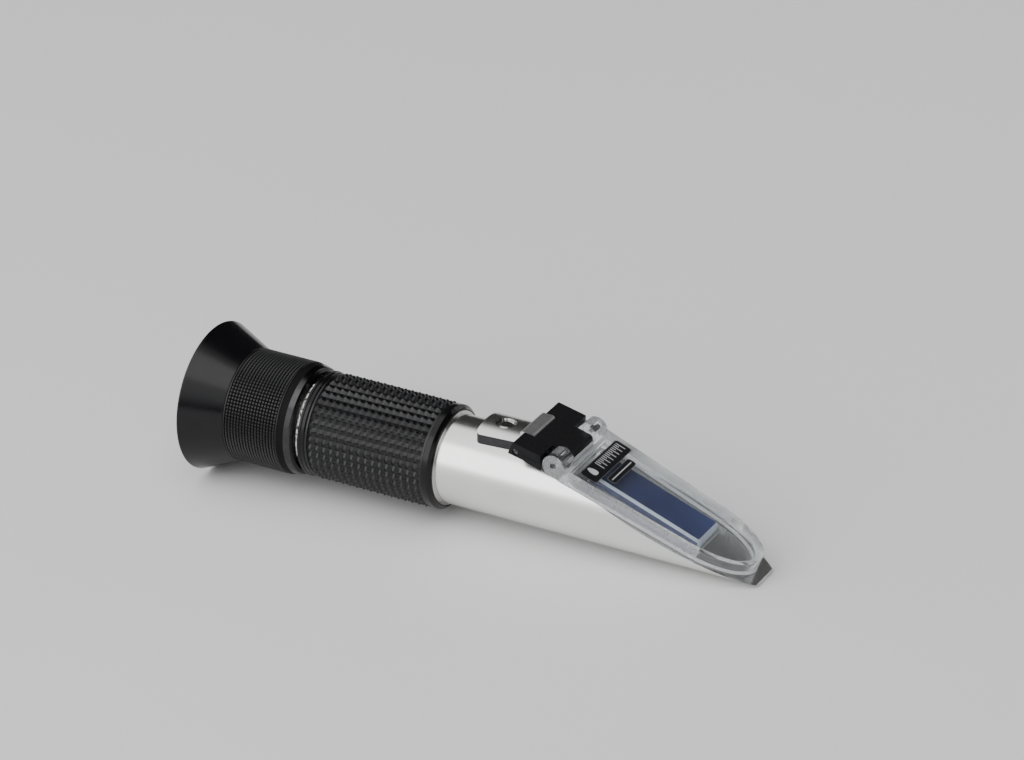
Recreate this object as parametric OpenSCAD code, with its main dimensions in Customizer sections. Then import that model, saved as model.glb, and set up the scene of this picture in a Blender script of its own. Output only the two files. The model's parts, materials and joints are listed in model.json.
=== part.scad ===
// Hand-held refractometer with automatic temperature compensation.
// X runs along the optical axis from the eyecup (X = 0) to the prism nose, +Z points up
// through the calibration screw. All sizes are in millimetres.

/* [Body] */
// Overall length, from the eyecup rim to the prism nose
total_l = 159; // [154:1:164]
// Radius of the metal front body
body_r = 11.7; // [11.5:0.1:11.9]
// Where the visible metal body starts
body_x = 71.6; // [70.5:0.1:72.5]
// Radius of the bore that holds the compensated objective
body_bore_r = 9.2; // [9:0.1:9.4]
// Slope of the prism seat, in degrees below the optical axis
seat_slope = 20; // [18:0.5:22]
// Where the seat leaves the top of the body
seat_x = 97.4; // [97:0.1:98]

/* [Hinge] */
// Rear hinge pin, height above the optical axis
rear_pin_z = 13.8; // [13.6:0.1:14]
// Rear hinge pin, distance from the eyecup rim
rear_pin_x = 95.2; // [95:0.1:95.4]
// Front hinge pin, distance from the eyecup rim
front_pin_x = 105.7; // [105.5:0.1:105.9]
// Front hinge pin, height above the optical axis
front_pin_z = 12.2; // [12.1:0.1:12.4]
// Radius of both hinge pins
pin_r = 0.8; // [0.7:0.05:0.9]
// Overall width of the hinge block
block_w = 24.6; // [24:0.1:25]
// Width of the fixed lug between the arms of the hinge block
lug_w = 11.4; // [11:0.1:11.8]

/* [Daylight plate] */
// Width of the daylight plate at its hinge
plate_w = 24; // [23.5:0.1:24.5]
// Narrowing of each long edge of the plate, in millimetres per millimetre
plate_taper = 0.05; // [0.04:0.01:0.06]
// Distance along the slope from the start of the seat to the plate tip
plate_tip = 63; // [62:0.5:64]
// Height of the plate above the seat
plate_h = 4.5; // [4.3:0.1:4.7]
// Width of the rim that stands down round the plate
plate_rim = 1.9; // [1.7:0.1:2.2]

/* [Prism] */
// Width of the measuring prism
prism_w = 11.2; // [10.8:0.1:11.6]
// Length of the measuring face along the slope
prism_l = 33; // [31:0.5:34]
// Height that the measuring face stands above the seat
prism_proud = 2.1; // [1.9:0.1:2.2]

/* [Calibration] */
// Distance of the calibration screw from the eyecup rim
screw_x = 86.2; // [85.8:0.1:86.6]
// Radius of the calibration screw
screw_r = 2.68; // [2.65:0.01:2.7]
// Radius of the raised pad that holds the screw, about the optical axis
pad_r = 14; // [13.8:0.1:14.2]

/* [Grip and eyepiece] */
// Radius of the rubber grip over its pyramids
grip_r = 14; // [13.7:0.1:14.2]
// Radius of the barrel tube under the grip
barrel_r = 12.4; // [12.2:0.1:12.6]
// Radius of the threaded neck that carries the focus ring
neck_r = 11.9; // [11.8:0.05:11.95]
// Radius of the rubber sleeve on the focus ring
sleeve_r = 15; // [14.8:0.1:15.2]
// Radius of the eyecup at its rim
cup_r = 20; // [19:0.5:21]
// Depth of the eyecup's flare
cup_l = 11; // [10.5:0.5:11]
// Radius of the straight mouth of the eyecup
mouth_r = 17.4; // [17:0.1:17.6]

/* [Hidden] */
$fn = 96;
over = 1;                       // how far a cut runs past the face it opens
run_gap = 0.05;                 // radial clearance of a turning or sliding fit
pin_gap = 0.03;                 // radial clearance of a hinge pin in its bore
part_gap = 0.3;                 // air between pieces that only pass each other

// Stations along the barrel, from the eyecup to the front body
neck_x0 = 14;
collar_x0 = 32;
grip_x0 = 34.6;
grip_x1 = 69;
stub_x0 = 58;
stub_r = 10.2;
screw_z0 = 7.95;
thread_bore_r = screw_r + 0.07;

// The prism seat
seat_z = body_r;
cos_s = cos(seat_slope);
sin_s = sin(seat_slope);
function on_seat(x, z) = [seat_x + x * cos_s + z * sin_s, seat_z - x * sin_s + z * cos_s];
function along(x, z) = (x - seat_x) * cos_s - (z - seat_z) * sin_s;
function above(x, z) = (x - seat_x) * sin_s + (z - seat_z) * cos_s;
function slope_z(x, top) = seat_z - (x - seat_x) * tan(seat_slope) + top / cos_s;
hinge_u = along(front_pin_x, front_pin_z);   // front hinge pin, along the slope
hinge_v = above(front_pin_x, front_pin_z);   // front hinge pin, above the slope

// The prism, as its side outline in X and Z
prism_u0 = 15.2;                // where its face starts, along the slope
prism_x0 = on_seat(prism_u0, prism_proud)[0];
prism_x1 = on_seat(prism_u0 + prism_l, prism_proud)[0];
prism_floor = -5;
aperture_r = 4.8;
prism_chamfer = 0.6;
seal_w = 0.4;
stop_t = 1.2;
stop_hole = 4.5;

// The objective and its arm
arm_x = 76;
arm_z = -7;
arm_w = 7;
arm_t = 1.2;
arm_hub_r = 1.4;
arm_hub_w = 5;
arm_pin_r = 0.75;
arm_pin_y0 = -8;
arm_pin_y1 = 9.2;
tab_w = 4;
tab_z = 6.4;
tab_lead = 1.8;
objective_r = 5.5;
objective_edge = 1.2;
objective_dome_r = 26;
objective_hole = 4.8;
holder_r = 7.4;
holder_x = 88;
holder_t = 4;
holder_lip = 1;
holder_lip_w = 0.7;
strip_x = arm_x + 2.4;
strip = [8.6, 5.6, 0.5];
spring_x = 84;
spring_z0 = -9.1;
spring_z1 = -7.7;
spring_r = 1;
spring_wire = 0.14;
spring_turns = 3;

// The calibration screw
head_sunk = 0.45;
screw_thread_z = 9.4;
screw_tip_r = 1.2;
slot_w = 0.9;
slot_deep = 1.1;
slot_turn = 25;

// The reticle and the diaphragm behind it
reticle_x = 48;
reticle_t = 1.5;
reticle_r = 9.8;
reticle_ring_t = 2.5;
reticle_ring_hole = 8.6;
diaphragm_t = 3;
diaphragm_r = 8.8;

// The eyepiece
cell_r = neck_r - 1.9;
cell_bore = 8;
cell_x0 = 10.05;
cell_x1 = 30;
flange_r = 12.4;
flange_t = 1.95;
lens_edge = 2.2;
lens_dome_r = 20;
eye_lens_x = 15.2;
field_lens_x = 23.2;
lens_ring_hole = 7;
eye_ring_x1 = 12.5;
field_ring_x0 = 25.9;
field_ring_sunk = 0.4;
spacer_hole = 7.2;
guide_x = 22;
guide_r = 1;
guide_sunk = 0.2;
guide_groove = 1;
guide_lead = 2;
guide_tip_gap = 0.1;
spigot_x = 6.5;
spigot_r = 13.6;
ring_core_r = 14.2;
ring_recess_x1 = 12.1;
focus_x1 = 31;
sleeve_x1 = 27;
retainer_x0 = 8.6;
retainer_x1 = 9.95;
retainer_r = flange_r + 0.1;
retainer_hole = 9;
cup_edge = 0.5;
cup_step_r = 12.6;
cup_floor_x = 5.9;
mouth_l = 3;

// ---- helpers -------------------------------------------------------------------------

// A round bar or tube along X
module rod_x(x0, x1, r, hole = 0) {
    translate([x0, 0, 0]) rotate([0, 90, 0]) difference() {
        cylinder(h = x1 - x0, r = r);
        if (hole > 0) translate([0, 0, -over]) cylinder(h = x1 - x0 + 2 * over, r = hole);
    }
}

// A round bar along Y, centred on the XZ plane
module rod_y(x, z, r, length) {
    translate([x, 0, z]) rotate([90, 0, 0]) cylinder(h = length, r = r, center = true);
}

// A round bar along Y between two values of Y
module rod_y_from(x, z, r, y0, y1) {
    translate([x, y1, z]) rotate([90, 0, 0]) cylinder(h = y1 - y0, r = r);
}

// A side outline in X and Z, made thick along Y
module side_slab(points, width) {
    rotate([90, 0, 0]) linear_extrude(width, center = true) polygon(points);
}

// A turned profile: points are [X, radius]
module turned(points) {
    rotate([0, 90, 0]) rotate([0, 0, 90]) rotate_extrude()
        polygon([for (p = points) [p[1], p[0]]]);
}

// Everything above the seat, as one big block
module above_seat(lift = 0) {
    translate([seat_x, 0, seat_z]) rotate([0, seat_slope, 0])
        translate([-30, -30, lift]) cube([130, 60, 60]);
}

// The frame that lies on the seat: X down the slope, Z out of it
module on_slope() {
    translate([seat_x, 0, seat_z]) rotate([0, seat_slope, 0]) children();
}

// A lens with one flat face and one domed face, flat face at X = 0
module half_lens(r, edge, dome_r) {
    rise = dome_r - sqrt(dome_r * dome_r - r * r);
    intersection() {
        rod_x(0, edge + rise, r);
        translate([edge + rise - dome_r, 0, 0]) sphere(r = dome_r, $fn = 240);
    }
}

// ---- front body and prism ------------------------------------------------------------

// Plan of the raised pad: it narrows a little towards the hinge, where the lug's foot joins it
pad_x0 = 80.6;
pad_x1 = 92.2;
pad_w0 = 12.8;
pad_w1 = 11.8;
pad_corner = 1.2;
module pad_plan() {
    hull() {
        for (side = [-1, 1]) translate([pad_x0 + pad_corner, side * (pad_w0 / 2 - pad_corner)])
            circle(r = pad_corner, $fn = 32);
        translate([pad_x1 - 0.1, -pad_w1 / 2]) square([0.1, pad_w1]);
    }
    translate([pad_x1 - 0.1, -lug_w / 2]) square([lug_rear + 0.2 - pad_x1, lug_w]);
}

// Side outline of the fixed hinge lug. Its top corners are rounded, so that it stays inside the
// notch of the block while the block swings
lug_top = 16.1;
lug_rear = 93.1;
lug_front = 97.3;
lug_round = 1.3;
lug_rear_round = 0.8;
lug_base_z = 8;
module lug() {
    difference() {
        rotate([90, 0, 0]) linear_extrude(lug_w, center = true) union() {
            translate([lug_rear, lug_base_z])
                square([lug_front - lug_rear, lug_top - lug_round - lug_base_z]);
            translate([lug_rear + lug_rear_round, lug_base_z]) square([
                lug_front - lug_round - lug_rear - lug_rear_round, lug_top - lug_base_z]);
            translate([lug_front - lug_round, lug_top - lug_round]) circle(r = lug_round);
            translate([lug_rear, lug_base_z])
                square([lug_rear_round, lug_top - lug_rear_round - lug_base_z]);
            translate([lug_rear + lug_rear_round, lug_top - lug_rear_round])
                circle(r = lug_rear_round);
        }
        rod_y(rear_pin_x, rear_pin_z, pin_r + pin_gap, lug_w + 2 * over);
    }
}

// The prism's outline up to a height above the seat, grown by a margin on its hidden sides
module prism_outline(margin, top) {
    x0 = prism_x0 - margin;
    x1 = prism_x1 + margin;
    side_slab([[x0, slope_z(x0, top)], [x1, slope_z(x1, top)], [x1, prism_floor - margin],
        [x0, prism_floor - margin]], prism_w + 2 * margin);
}

module front_body() {
    color("gainsboro") difference() {
        union() {
            difference() {
                rod_x(body_x, total_l, body_r);
                above_seat();
            }
            rod_x(stub_x0, body_x, stub_r);
            intersection() {
                linear_extrude(pad_r + over) pad_plan();
                rod_x(pad_x0 - over, lug_front, pad_r);
            }
            lug();
        }
        rod_x(stub_x0 - over, seat_x, body_bore_r);
        rod_x(seat_x - over, prism_x0 + over, aperture_r);
        prism_outline(seal_w, prism_proud + over);
        translate([screw_x, 0, 0]) cylinder(h = pad_r + over, r = thread_bore_r);
        rod_y_from(arm_x, arm_z, arm_pin_r, arm_pin_y0, body_r);
    }
}

module main_prism() {
    bevel = prism_chamfer * sqrt(2);
    color("lightsteelblue") difference() {
        prism_outline(0, prism_proud);
        on_slope() for (side = [-1, 1])
            translate([0, side * prism_w / 2, prism_proud]) rotate([45, 0, 0])
                cube([2 * (prism_u0 + prism_l + over), bevel, bevel], center = true);
    }
}

module prism_seal() {
    color("silver") difference() {
        prism_outline(seal_w, 0);
        prism_outline(0, prism_proud);
        rod_x(seat_x, prism_x0 + over, aperture_r);
    }
}

module light_stop() {
    color("dimgray") rod_x(seat_x - stop_t, seat_x, body_bore_r, stop_hole);
}

// ---- barrel --------------------------------------------------------------------------

module barrel_tube() {
    color("silver") difference() {
        union() {
            rod_x(neck_x0, collar_x0 + over, neck_r);
            rod_x(collar_x0, body_x, barrel_r);
        }
        rod_x(neck_x0 - over, reticle_x - diaphragm_t, cell_r + run_gap);
        rod_x(reticle_x - diaphragm_t - over, reticle_x, diaphragm_r);
        rod_x(reticle_x, body_x + over, stub_r);
        translate([guide_x, 0, -neck_r - over]) cylinder(h = neck_r, r = guide_r);
    }
}

module stop_collar() {
    edge = 0.3;
    color("black") turned([[collar_x0, barrel_r], [collar_x0, grip_r - edge],
        [collar_x0 + edge, grip_r], [grip_x0 - edge, grip_r], [grip_x0, grip_r - edge],
        [grip_x0, barrel_r]]);
}

module rubber_grip() {
    color("black") rod_x(grip_x0, grip_x1, grip_r, barrel_r);
}

module grip_ring() {
    ring_r = grip_r - 0.2;
    chamfer = 1;
    color("black") turned([[grip_x1, barrel_r], [grip_x1, ring_r], [body_x - chamfer, ring_r],
        [body_x, ring_r - chamfer], [body_x, barrel_r]]);
}

module reticle() {
    color("powderblue") rod_x(reticle_x, reticle_x + reticle_t, reticle_r);
}

module reticle_ring() {
    color("dimgray") translate([reticle_x + reticle_t, 0, 0])
        rod_x(0, reticle_ring_t, stub_r, reticle_ring_hole);
}

module focus_guide_pin() {
    top = cell_r - guide_groove + guide_tip_gap;
    color("silver") translate([guide_x, 0, guide_sunk - neck_r])
        cylinder(h = neck_r - guide_sunk - top, r = guide_r);
}

// ---- eyepiece ------------------------------------------------------------------------

module lens_cell() {
    groove_w = 2 * (guide_r + run_gap);
    color("dimgray") difference() {
        union() {
            rod_x(cell_x0, cell_x1, cell_r);
            rod_x(cell_x0, cell_x0 + flange_t, flange_r);
        }
        rod_x(cell_x0 - over, cell_x1 + over, cell_bore);
        translate([guide_x - guide_lead, -groove_w / 2, -cell_r - over])
            cube([cell_x1 - guide_x + guide_lead + over, groove_w, over + guide_groove]);
    }
}

module eye_lens() {
    color("powderblue") translate([eye_lens_x, 0, 0]) mirror([1, 0, 0])
        half_lens(cell_bore, lens_edge, lens_dome_r);
}

module eye_lens_ring() {
    color("dimgray") rod_x(cell_x0, eye_ring_x1, cell_bore, lens_ring_hole);
}

module lens_spacer() {
    color("dimgray") rod_x(eye_lens_x, field_lens_x, cell_bore, spacer_hole);
}

module field_lens() {
    color("powderblue") translate([field_lens_x, 0, 0])
        half_lens(cell_bore, lens_edge, lens_dome_r);
}

module field_lens_ring() {
    color("dimgray") rod_x(field_ring_x0, cell_x1 - field_ring_sunk, cell_bore, lens_ring_hole);
}

module focus_ring() {
    nose = [[sleeve_x1, sleeve_r - 0.1], [sleeve_x1 + 1, sleeve_r - 0.3],
        [focus_x1 - 0.8, sleeve_r - 0.7], [focus_x1, sleeve_r - 1.5]];
    root_r = ring_core_r - over;
    color("black") difference() {
        union() {
            rod_x(spigot_x, cup_l + over, spigot_r);
            rod_x(cup_l, sleeve_x1 + 0.2, ring_core_r);
            turned(concat([[sleeve_x1, root_r]], nose, [[focus_x1, root_r]]));
        }
        rod_x(spigot_x - over, ring_recess_x1, retainer_r);
        rod_x(ring_recess_x1 - 0.1, focus_x1 + over, neck_r + run_gap);
    }
}

module focus_sleeve() {
    color("black") rod_x(cup_l, sleeve_x1, sleeve_r, ring_core_r);
}

module cell_retainer() {
    color("dimgray") rod_x(retainer_x0, retainer_x1, retainer_r, retainer_hole);
}

module eyecup() {
    color("black") turned([[0, mouth_r], [0, cup_r - cup_edge], [cup_edge, cup_r],
        [cup_l, sleeve_r], [cup_l, spigot_r], [spigot_x, spigot_r], [spigot_x, cup_step_r],
        [cup_floor_x, cup_step_r], [mouth_l, mouth_r]]);
}

// ---- calibration and temperature compensation ----------------------------------------

module calibration_screw() {
    head_z = pad_r - head_sunk;
    slot_l = 3 * screw_r;
    color("silver") translate([screw_x, 0, 0]) difference() {
        union() {
            translate([0, 0, screw_thread_z]) cylinder(h = head_z - screw_thread_z, r = screw_r);
            translate([0, 0, screw_z0])
                cylinder(h = screw_thread_z - screw_z0 + over, r = screw_tip_r);
        }
        rotate([0, 0, slot_turn]) translate([-slot_l / 2, -slot_w / 2, head_z - slot_deep])
            cube([slot_l, slot_w, slot_deep + over]);
    }
}

module lens_arm() {
    color("goldenrod") difference() {
        union() {
            rod_x(holder_x, holder_x + holder_t, holder_r);
            rod_y(arm_x, arm_z, arm_hub_r, arm_hub_w);
            translate([arm_x, -arm_w / 2, arm_z - arm_t / 2])
                cube([holder_x - arm_x + over, arm_w, arm_t]);
            translate([screw_x - tab_lead, -tab_w / 2, tab_z])
                cube([holder_x - screw_x + tab_lead + over, tab_w, arm_t]);
        }
        rod_x(arm_x, holder_x + holder_t - holder_lip, objective_r);
        rod_x(arm_x, holder_x + holder_t + over, objective_r - holder_lip_w);
        rod_y(arm_x, arm_z, arm_pin_r + pin_gap, 2 * arm_hub_w);
    }
}

module objective_lens() {
    color("powderblue") translate([holder_x + holder_t - holder_lip, 0, 0]) mirror([1, 0, 0])
        half_lens(objective_r, objective_edge, objective_dome_r);
}

module objective_ring() {
    ring_t = 1.2;
    color("dimgray") rod_x(holder_x, holder_x + ring_t, objective_r, objective_hole);
}

module bimetal_strip() {
    color("peru") translate([strip_x, -strip[1] / 2, arm_z + arm_t / 2]) cube(strip);
}

module arm_pivot_pin() {
    color("silver") rod_y_from(arm_x, arm_z, arm_pin_r, arm_pin_y0, arm_pin_y1);
}

// A point of the spring's wire: t turns along it, a degrees round the wire's own section
spring_steps = 16;
spring_sides = 8;
spring_pitch = (spring_z1 - spring_z0 - 2 * spring_wire) / spring_turns;
function wire_point(t, a) = [
    spring_x + (spring_r + spring_wire * cos(a)) * cos(360 * t),
    (spring_r + spring_wire * cos(a)) * sin(360 * t),
    spring_z0 + spring_wire + spring_pitch * t + spring_wire * sin(a)];
module return_spring() {
    rings = spring_turns * spring_steps;
    points = [for (i = [0:rings]) for (j = [0:spring_sides - 1])
        wire_point(i / spring_steps, 360 * j / spring_sides)];
    walls = [for (i = [0:rings - 1]) for (j = [0:spring_sides - 1])
        let (n = (j + 1) % spring_sides, a = i * spring_sides, b = a + spring_sides)
        [a + j, a + n, b + n, b + j]];
    start_cap = [for (j = [0:spring_sides - 1]) spring_sides - 1 - j];
    end_cap = [for (j = [0:spring_sides - 1]) rings * spring_sides + j];
    color("silver") polyhedron(points, concat(walls, [start_cap, end_cap]));
}

// ---- hinge and daylight plate --------------------------------------------------------

// Side outlines of the block: the arms and shoulders, and the tongue between the knuckles
knuckle_r = 3;
block_front = 102.4;
block_front_z = slope_z(block_front, 0);
tongue_w = 11.8;
notch_r = 2.9;
notch_w = lug_w + 2 * part_gap + 0.1;
module hinge_block() {
    shoulders = [[94.5, 16.3], [93.1, 13], [97.2, 12.1], [block_front, block_front_z + 0.4],
        [block_front, 14.5]];
    tongue = [[block_front - over, block_front_z + 0.8], [106.9, 10.1], [107.7, 11.4],
        [107.7, 12.6], [107.1, 13.2], [block_front - over, 14.73]];
    color("black") difference() {
        union() {
            side_slab(shoulders, block_w);
            side_slab(tongue, tongue_w);
        }
        rod_y(rear_pin_x, rear_pin_z, notch_r, notch_w);
        translate([rear_pin_x - 2 * notch_r, -notch_w / 2, rear_pin_z - 2 * notch_r])
            cube([2 * notch_r, notch_w, 4 * notch_r]);
        rod_y(rear_pin_x, rear_pin_z, pin_r, block_w + over);
        rod_y(front_pin_x, front_pin_z, pin_r, tongue_w + over);
        for (side = [-1, 1]) translate([0, side * (tongue_w + block_w) / 2, 0])
            rod_y(front_pin_x, front_pin_z, knuckle_r + part_gap, block_w);
    }
}

module rear_hinge_pin() {
    color("dimgray") rod_y(rear_pin_x, rear_pin_z, pin_r, block_w - 0.6);
}

module front_hinge_pin() {
    color("dimgray") rod_y(front_pin_x, front_pin_z, pin_r, plate_w - 1);
}

// Half width of the plate at a distance down the slope: straight edges, then a round tip
tip_start = 44;
tip_steps = 24;
plate_rear = hinge_u + 2.5;
plate_floor = 0.2;
web_rise = 0.4;                 // how far the knuckle's neck stops above the knuckle's lowest point
web_lap = 1.2;
recess_lap = 1.6;
function edge_y(u) = plate_w / 2 - plate_taper * (u - hinge_u);
function tip_point(a, inset) = [
    tip_start + (plate_tip - inset - tip_start) * sin(a), (edge_y(tip_start) - inset) * cos(a)];
module plate_plan(inset, rear) {
    tip = [for (i = [0:tip_steps]) tip_point(180 * i / tip_steps, inset)];
    polygon(concat([[rear, edge_y(rear) - inset]], tip, [[rear, -edge_y(rear) + inset]]));
}

// Side outline of one knuckle and the neck that joins it to the plate, X down the slope
module knuckle_profile() {
    translate([hinge_u, hinge_v]) circle(r = knuckle_r);
    translate([hinge_u, hinge_v - knuckle_r + web_rise])
        square([plate_rear - hinge_u + web_lap, plate_h - hinge_v + knuckle_r - web_rise]);
}

module daylight_plate() {
    recess_z = prism_proud + part_gap;
    knuckle_y0 = tongue_w / 2 + part_gap;
    knuckle_w = edge_y(plate_rear) - knuckle_y0;
    color("aliceblue", 0.5) on_slope() difference() {
        union() {
            translate([0, 0, plate_floor]) linear_extrude(plate_h - plate_floor)
                plate_plan(0, plate_rear);
            for (side = [-1, 1]) translate([0, side * (knuckle_y0 + knuckle_w / 2), 0])
                rotate([90, 0, 0]) linear_extrude(knuckle_w, center = true) knuckle_profile();
        }
        translate([0, 0, -over]) linear_extrude(recess_z + over)
            plate_plan(plate_rim, plate_rear + recess_lap);
        translate([hinge_u, 0, hinge_v]) rotate([90, 0, 0])
            cylinder(h = plate_w + 2 * over, r = pin_r + pin_gap, center = true);
    }
}

front_body();
barrel_tube();
stop_collar();
rubber_grip();
grip_ring();
reticle();
reticle_ring();
main_prism();
prism_seal();
light_stop();
arm_pivot_pin();
return_spring();
focus_guide_pin();
lens_cell();
eye_lens();
eye_lens_ring();
lens_spacer();
field_lens();
field_lens_ring();
focus_ring();
focus_sleeve();
cell_retainer();
eyecup();
calibration_screw();
lens_arm();
objective_lens();
objective_ring();
bimetal_strip();
hinge_block();
rear_hinge_pin();
front_hinge_pin();
daylight_plate();
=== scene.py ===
import json
import math

import bmesh
import bpy
from mathutils import Matrix, Vector


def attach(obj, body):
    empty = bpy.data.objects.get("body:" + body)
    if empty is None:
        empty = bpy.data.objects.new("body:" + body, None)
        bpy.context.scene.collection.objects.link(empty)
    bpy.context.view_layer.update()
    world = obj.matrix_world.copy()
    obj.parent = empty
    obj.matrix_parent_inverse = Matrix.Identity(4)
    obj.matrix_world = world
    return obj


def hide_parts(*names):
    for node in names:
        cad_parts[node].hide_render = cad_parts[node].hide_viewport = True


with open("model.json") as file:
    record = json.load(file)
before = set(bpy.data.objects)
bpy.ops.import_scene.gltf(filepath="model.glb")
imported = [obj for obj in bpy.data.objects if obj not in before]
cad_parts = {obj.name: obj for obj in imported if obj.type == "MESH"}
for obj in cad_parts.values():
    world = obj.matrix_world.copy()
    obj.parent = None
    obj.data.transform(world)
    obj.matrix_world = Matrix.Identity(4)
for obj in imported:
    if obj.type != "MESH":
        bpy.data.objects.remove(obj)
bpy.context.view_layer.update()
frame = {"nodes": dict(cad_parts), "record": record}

# A hand-held refractometer. Shapes are modelled in millimetres and turned into metres when they
# join the frame: X runs along the optical axis from the eyecup rim, +Z is up through the
# calibration screw.
MM = 0.001
NODES = frame["nodes"]
BODIES = frame["record"]["behaviour"]["bodies"]

# Dimensions shared by several pieces, the same as the CAD's
TOTAL_L = 159.0
BODY_R = 11.7
BODY_X = 71.6
SEAT_X = 97.4
SLOPE = math.radians(20)
REAR_PIN = (95.2, 13.8)
FRONT_PIN = (105.7, 12.2)
PIN_R = 0.8
BLOCK_W = 24.6
LUG_W = 11.4
TONGUE_W = 11.8
PLATE_W = 24.0
PLATE_TAPER = 0.05
PLATE_TIP = 63.0
TIP_START = 44.0
PLATE_H = 4.5
PLATE_RIM = 1.9
PRISM_W = 11.2
PRISM_U0 = 15.2
PRISM_L = 33.0
PRISM_PROUD = 2.1
PRISM_FLOOR = -5.0
SCREW_X = 86.2
SCREW_R = 2.68
PAD_R = 14.0
LUG_X0 = 93.1
LUG_X1 = 97.3
LUG_TOP = 16.1
LUG_SKIN_Z = 13.2
BARREL_R = 12.4
BARREL_BORE_R = 10.2
NECK_R = 11.9
GRIP_R = 14.0
GRIP_X0 = 34.6
GRIP_X1 = 69.0
STOP_X0 = 32.0
SLEEVE_R = 15.0
SLEEVE_X1 = 27.0
RING_CORE_R = 14.2
RING_X0 = 6.5
RING_X1 = 31.0
CUP_L = 11.0
CUP_R = 20.0
CUP_FIT_R = 13.6
MOUTH_R = 17.4

# Where the slope's own frame lies: U down the seat, V out of it
SEAT = Matrix.Translation((SEAT_X, 0, BODY_R)) @ Matrix.Rotation(SLOPE, 4, "Y")
SLOPE_UP = Vector((math.sin(SLOPE), 0, math.cos(SLOPE)))


def on_seat(u, v):
    """X and Z of a point given along and above the seat."""
    point = SEAT @ Vector((u, 0, v))
    return point.x, point.z


def seat_of(x, z):
    """How far along and above the seat a point in X and Z lies."""
    point = SEAT.inverted() @ Vector((x, 0, z))
    return point.x, point.z


def seat_height(x, above=0.0):
    """Z of the seat, or of a plane parallel to it, at X."""
    return BODY_R - (x - SEAT_X) * math.tan(SLOPE) + above / math.cos(SLOPE)


HINGE_U, HINGE_V = seat_of(*FRONT_PIN)
PRISM_X0 = on_seat(PRISM_U0, PRISM_PROUD)[0]
PRISM_X1 = on_seat(PRISM_U0 + PRISM_L, PRISM_PROUD)[0]


# ---- mesh helpers --------------------------------------------------------------------------

def solid(name, points, faces):
    """A mesh object from points and faces, with its normals outward."""
    mesh = bpy.data.meshes.new(name)
    mesh.from_pydata([Vector(p) for p in points], [], faces)
    shape = bmesh.new()
    shape.from_mesh(mesh)
    bmesh.ops.remove_doubles(shape, verts=shape.verts, dist=1e-5)
    bmesh.ops.recalc_face_normals(shape, faces=shape.faces)
    shape.to_mesh(mesh)
    shape.free()
    obj = bpy.data.objects.new(name, mesh)
    bpy.context.scene.collection.objects.link(obj)
    return obj


def soften(outline, radius, steps=4):
    """The closed outline with rounded corners. A point's third number is its own radius."""
    rounded = []
    for i, point in enumerate(outline):
        here = Vector(point[:2])
        before = Vector(outline[i - 1][:2]) - here
        after = Vector(outline[(i + 1) % len(outline)][:2]) - here
        own = point[2] if len(point) > 2 else radius
        corner = before.angle(after)
        if own <= 0 or corner > math.radians(172):
            rounded.append(here)
            continue
        cut = min(own / math.tan(corner / 2), 0.48 * before.length, 0.48 * after.length)
        start, end = here + before.normalized() * cut, here + after.normalized() * cut
        for k in range(steps + 1):
            t = k / steps
            rounded.append(start.lerp(here, t).lerp(here.lerp(end, t), t))
    return [tuple(p) for p in rounded]


def circle(centre, radius, steps=64):
    """A round outline."""
    turn = 2 * math.pi / steps
    return [(centre[0] + radius * math.cos(k * turn), centre[1] + radius * math.sin(k * turn))
            for k in range(steps)]


def turned(name, profile, steps=192):
    """A solid turned about X from a closed outline of X and radius."""
    points, faces, n = [], [], len(profile)
    for i in range(steps):
        angle = 2 * math.pi * i / steps
        points += [(x, r * math.sin(angle), r * math.cos(angle)) for x, r in profile]
    for i in range(steps):
        a, b = i * n, (i + 1) % steps * n
        faces += [(a + k, a + (k + 1) % n, b + (k + 1) % n, b + k) for k in range(n)]
    return solid(name, points, faces)


PLANES = {"XZ": lambda a, b, t: (a, t, b), "XY": lambda a, b, t: (a, b, t),
          "YZ": lambda a, b, t: (t, a, b)}


def extruded(name, outline, low, high, plane="XZ"):
    """An outline in two axes, made solid along the third one."""
    put, n = PLANES[plane], len(outline)
    points = [put(a, b, low) for a, b in outline] + [put(a, b, high) for a, b in outline]
    sides = [(k, (k + 1) % n, n + (k + 1) % n, n + k) for k in range(n)]
    return solid(name, points, sides + [tuple(range(n)), tuple(range(n, 2 * n))])


def knurled(name, stations, spokes, radius, bore):
    """A tube along X whose skin is a grid with its own radius at each station and spoke."""
    count = len(spokes)
    rows = [[(x, radius(i, j)) for j in range(count)] for i, x in enumerate(stations)]
    rows = [[(stations[0], bore)] * count, *rows, [(stations[-1], bore)] * count]
    points = [(x, r * math.sin(angle), r * math.cos(angle))
              for row in rows for (x, r), angle in zip(row, spokes)]
    faces = []
    for i in range(len(rows)):
        here, there = i * count, (i + 1) % len(rows) * count
        faces += [(here + j, here + (j + 1) % count, there + (j + 1) % count, there + j)
                  for j in range(count)]
    return solid(name, points, faces)


def settle(obj):
    """Applies obj's modifiers to its mesh."""
    evaluated = obj.evaluated_get(bpy.context.evaluated_depsgraph_get())
    mesh = bpy.data.meshes.new_from_object(evaluated)
    obj.modifiers.clear()
    obj.data = mesh
    return obj


def combine(obj, operation, *tools):
    """Joins the tools to obj, or cuts them out of it, and removes them."""
    for tool in tools:
        change = obj.modifiers.new("combine", "BOOLEAN")
        change.object, change.operation, change.solver = tool, operation, "EXACT"
        settle(obj)
        bpy.data.objects.remove(tool)
    return obj


def edged(obj, width, segments=2, angle=30):
    """Rounds every edge sharper than angle."""
    edge = obj.modifiers.new("edge", "BEVEL")
    edge.width, edge.segments = width, segments
    edge.limit_method, edge.angle_limit = "ANGLE", math.radians(angle)
    edge.use_clamp_overlap = True
    return settle(obj)


def moved(obj, matrix):
    """Puts obj's mesh somewhere else."""
    obj.data.transform(matrix)
    return obj


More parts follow.
